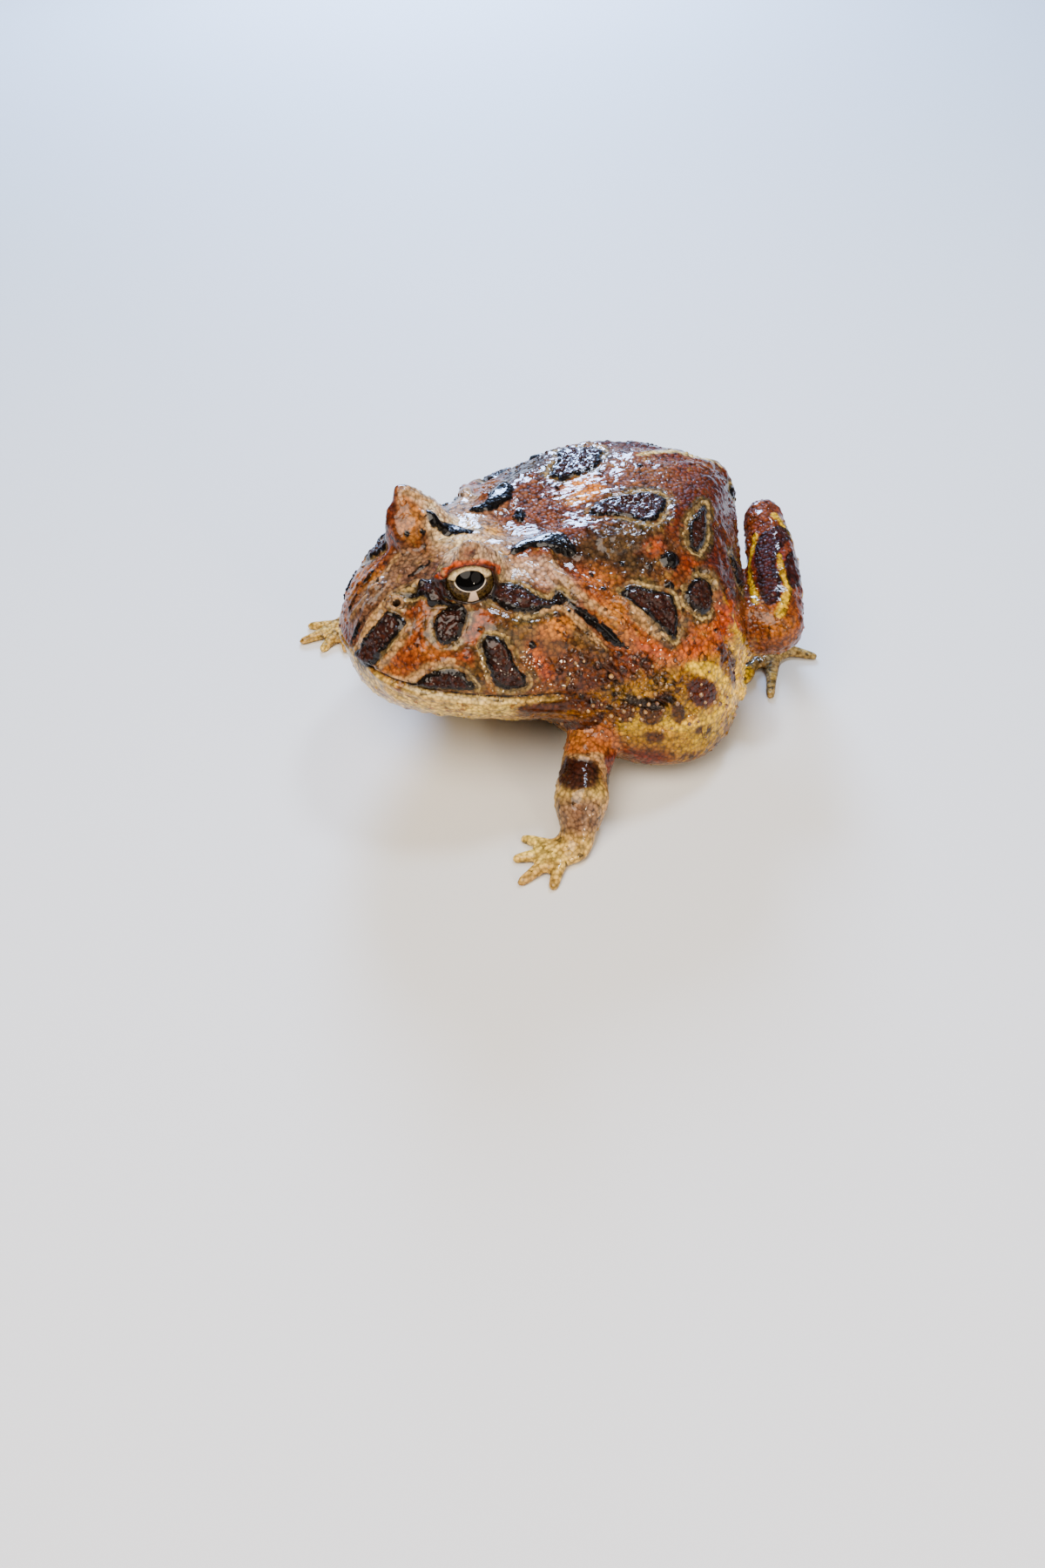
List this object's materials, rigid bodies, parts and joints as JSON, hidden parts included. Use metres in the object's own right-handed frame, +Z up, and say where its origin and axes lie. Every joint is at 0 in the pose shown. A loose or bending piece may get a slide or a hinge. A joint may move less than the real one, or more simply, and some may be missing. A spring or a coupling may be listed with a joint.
{
  "type": "argentine horned frog model",
  "caption": "Life-size still model of a squatting horned frog with a wide mouth, pointed lids over the eyes, round body and folded hind legs.",
  "frame": {"origin": "middle of the bounding box at floor level", "axes": "+Z up, the frog faces -Y, its left side is +X"},
  "size_m": [0.0782, 0.0776, 0.0401],
  "materials": {
    "head": "wet satin",
    "lower_jaw": "wet satin",
    "torso": "wet satin",
    "horned_lid_left": "wet satin",
    "upper_arm_left": "wet satin",
    "forearm_left": "wet satin",
    "hand_left": "wet satin",
    "thigh_left": "wet satin",
    "shank_left": "wet satin",
    "foot_left": "wet satin",
    "eye_left": "gloss",
    "horned_lid_right": "wet satin",
    "upper_arm_right": "wet satin",
    "forearm_right": "wet satin",
    "hand_right": "wet satin",
    "thigh_right": "wet satin",
    "shank_right": "wet satin",
    "foot_right": "wet satin",
    "eye_right": "gloss"
  },
  "bodies": {
    "root": {"head": "head", "lower_jaw": "lower_jaw", "torso": "torso", "horned_lid_left": "horned_lid_left", "upper_arm_left": "upper_arm_left", "forearm_left": "forearm_left", "hand_left": "hand_left", "thigh_left": "thigh_left", "shank_left": "shank_left", "foot_left": "foot_left", "eye_left": "eye_left", "horned_lid_right": "horned_lid_right", "upper_arm_right": "upper_arm_right", "forearm_right": "forearm_right", "hand_right": "hand_right", "thigh_right": "thigh_right", "shank_right": "shank_right", "foot_right": "foot_right", "eye_right": "eye_right"}
  },
  "joints": []
}
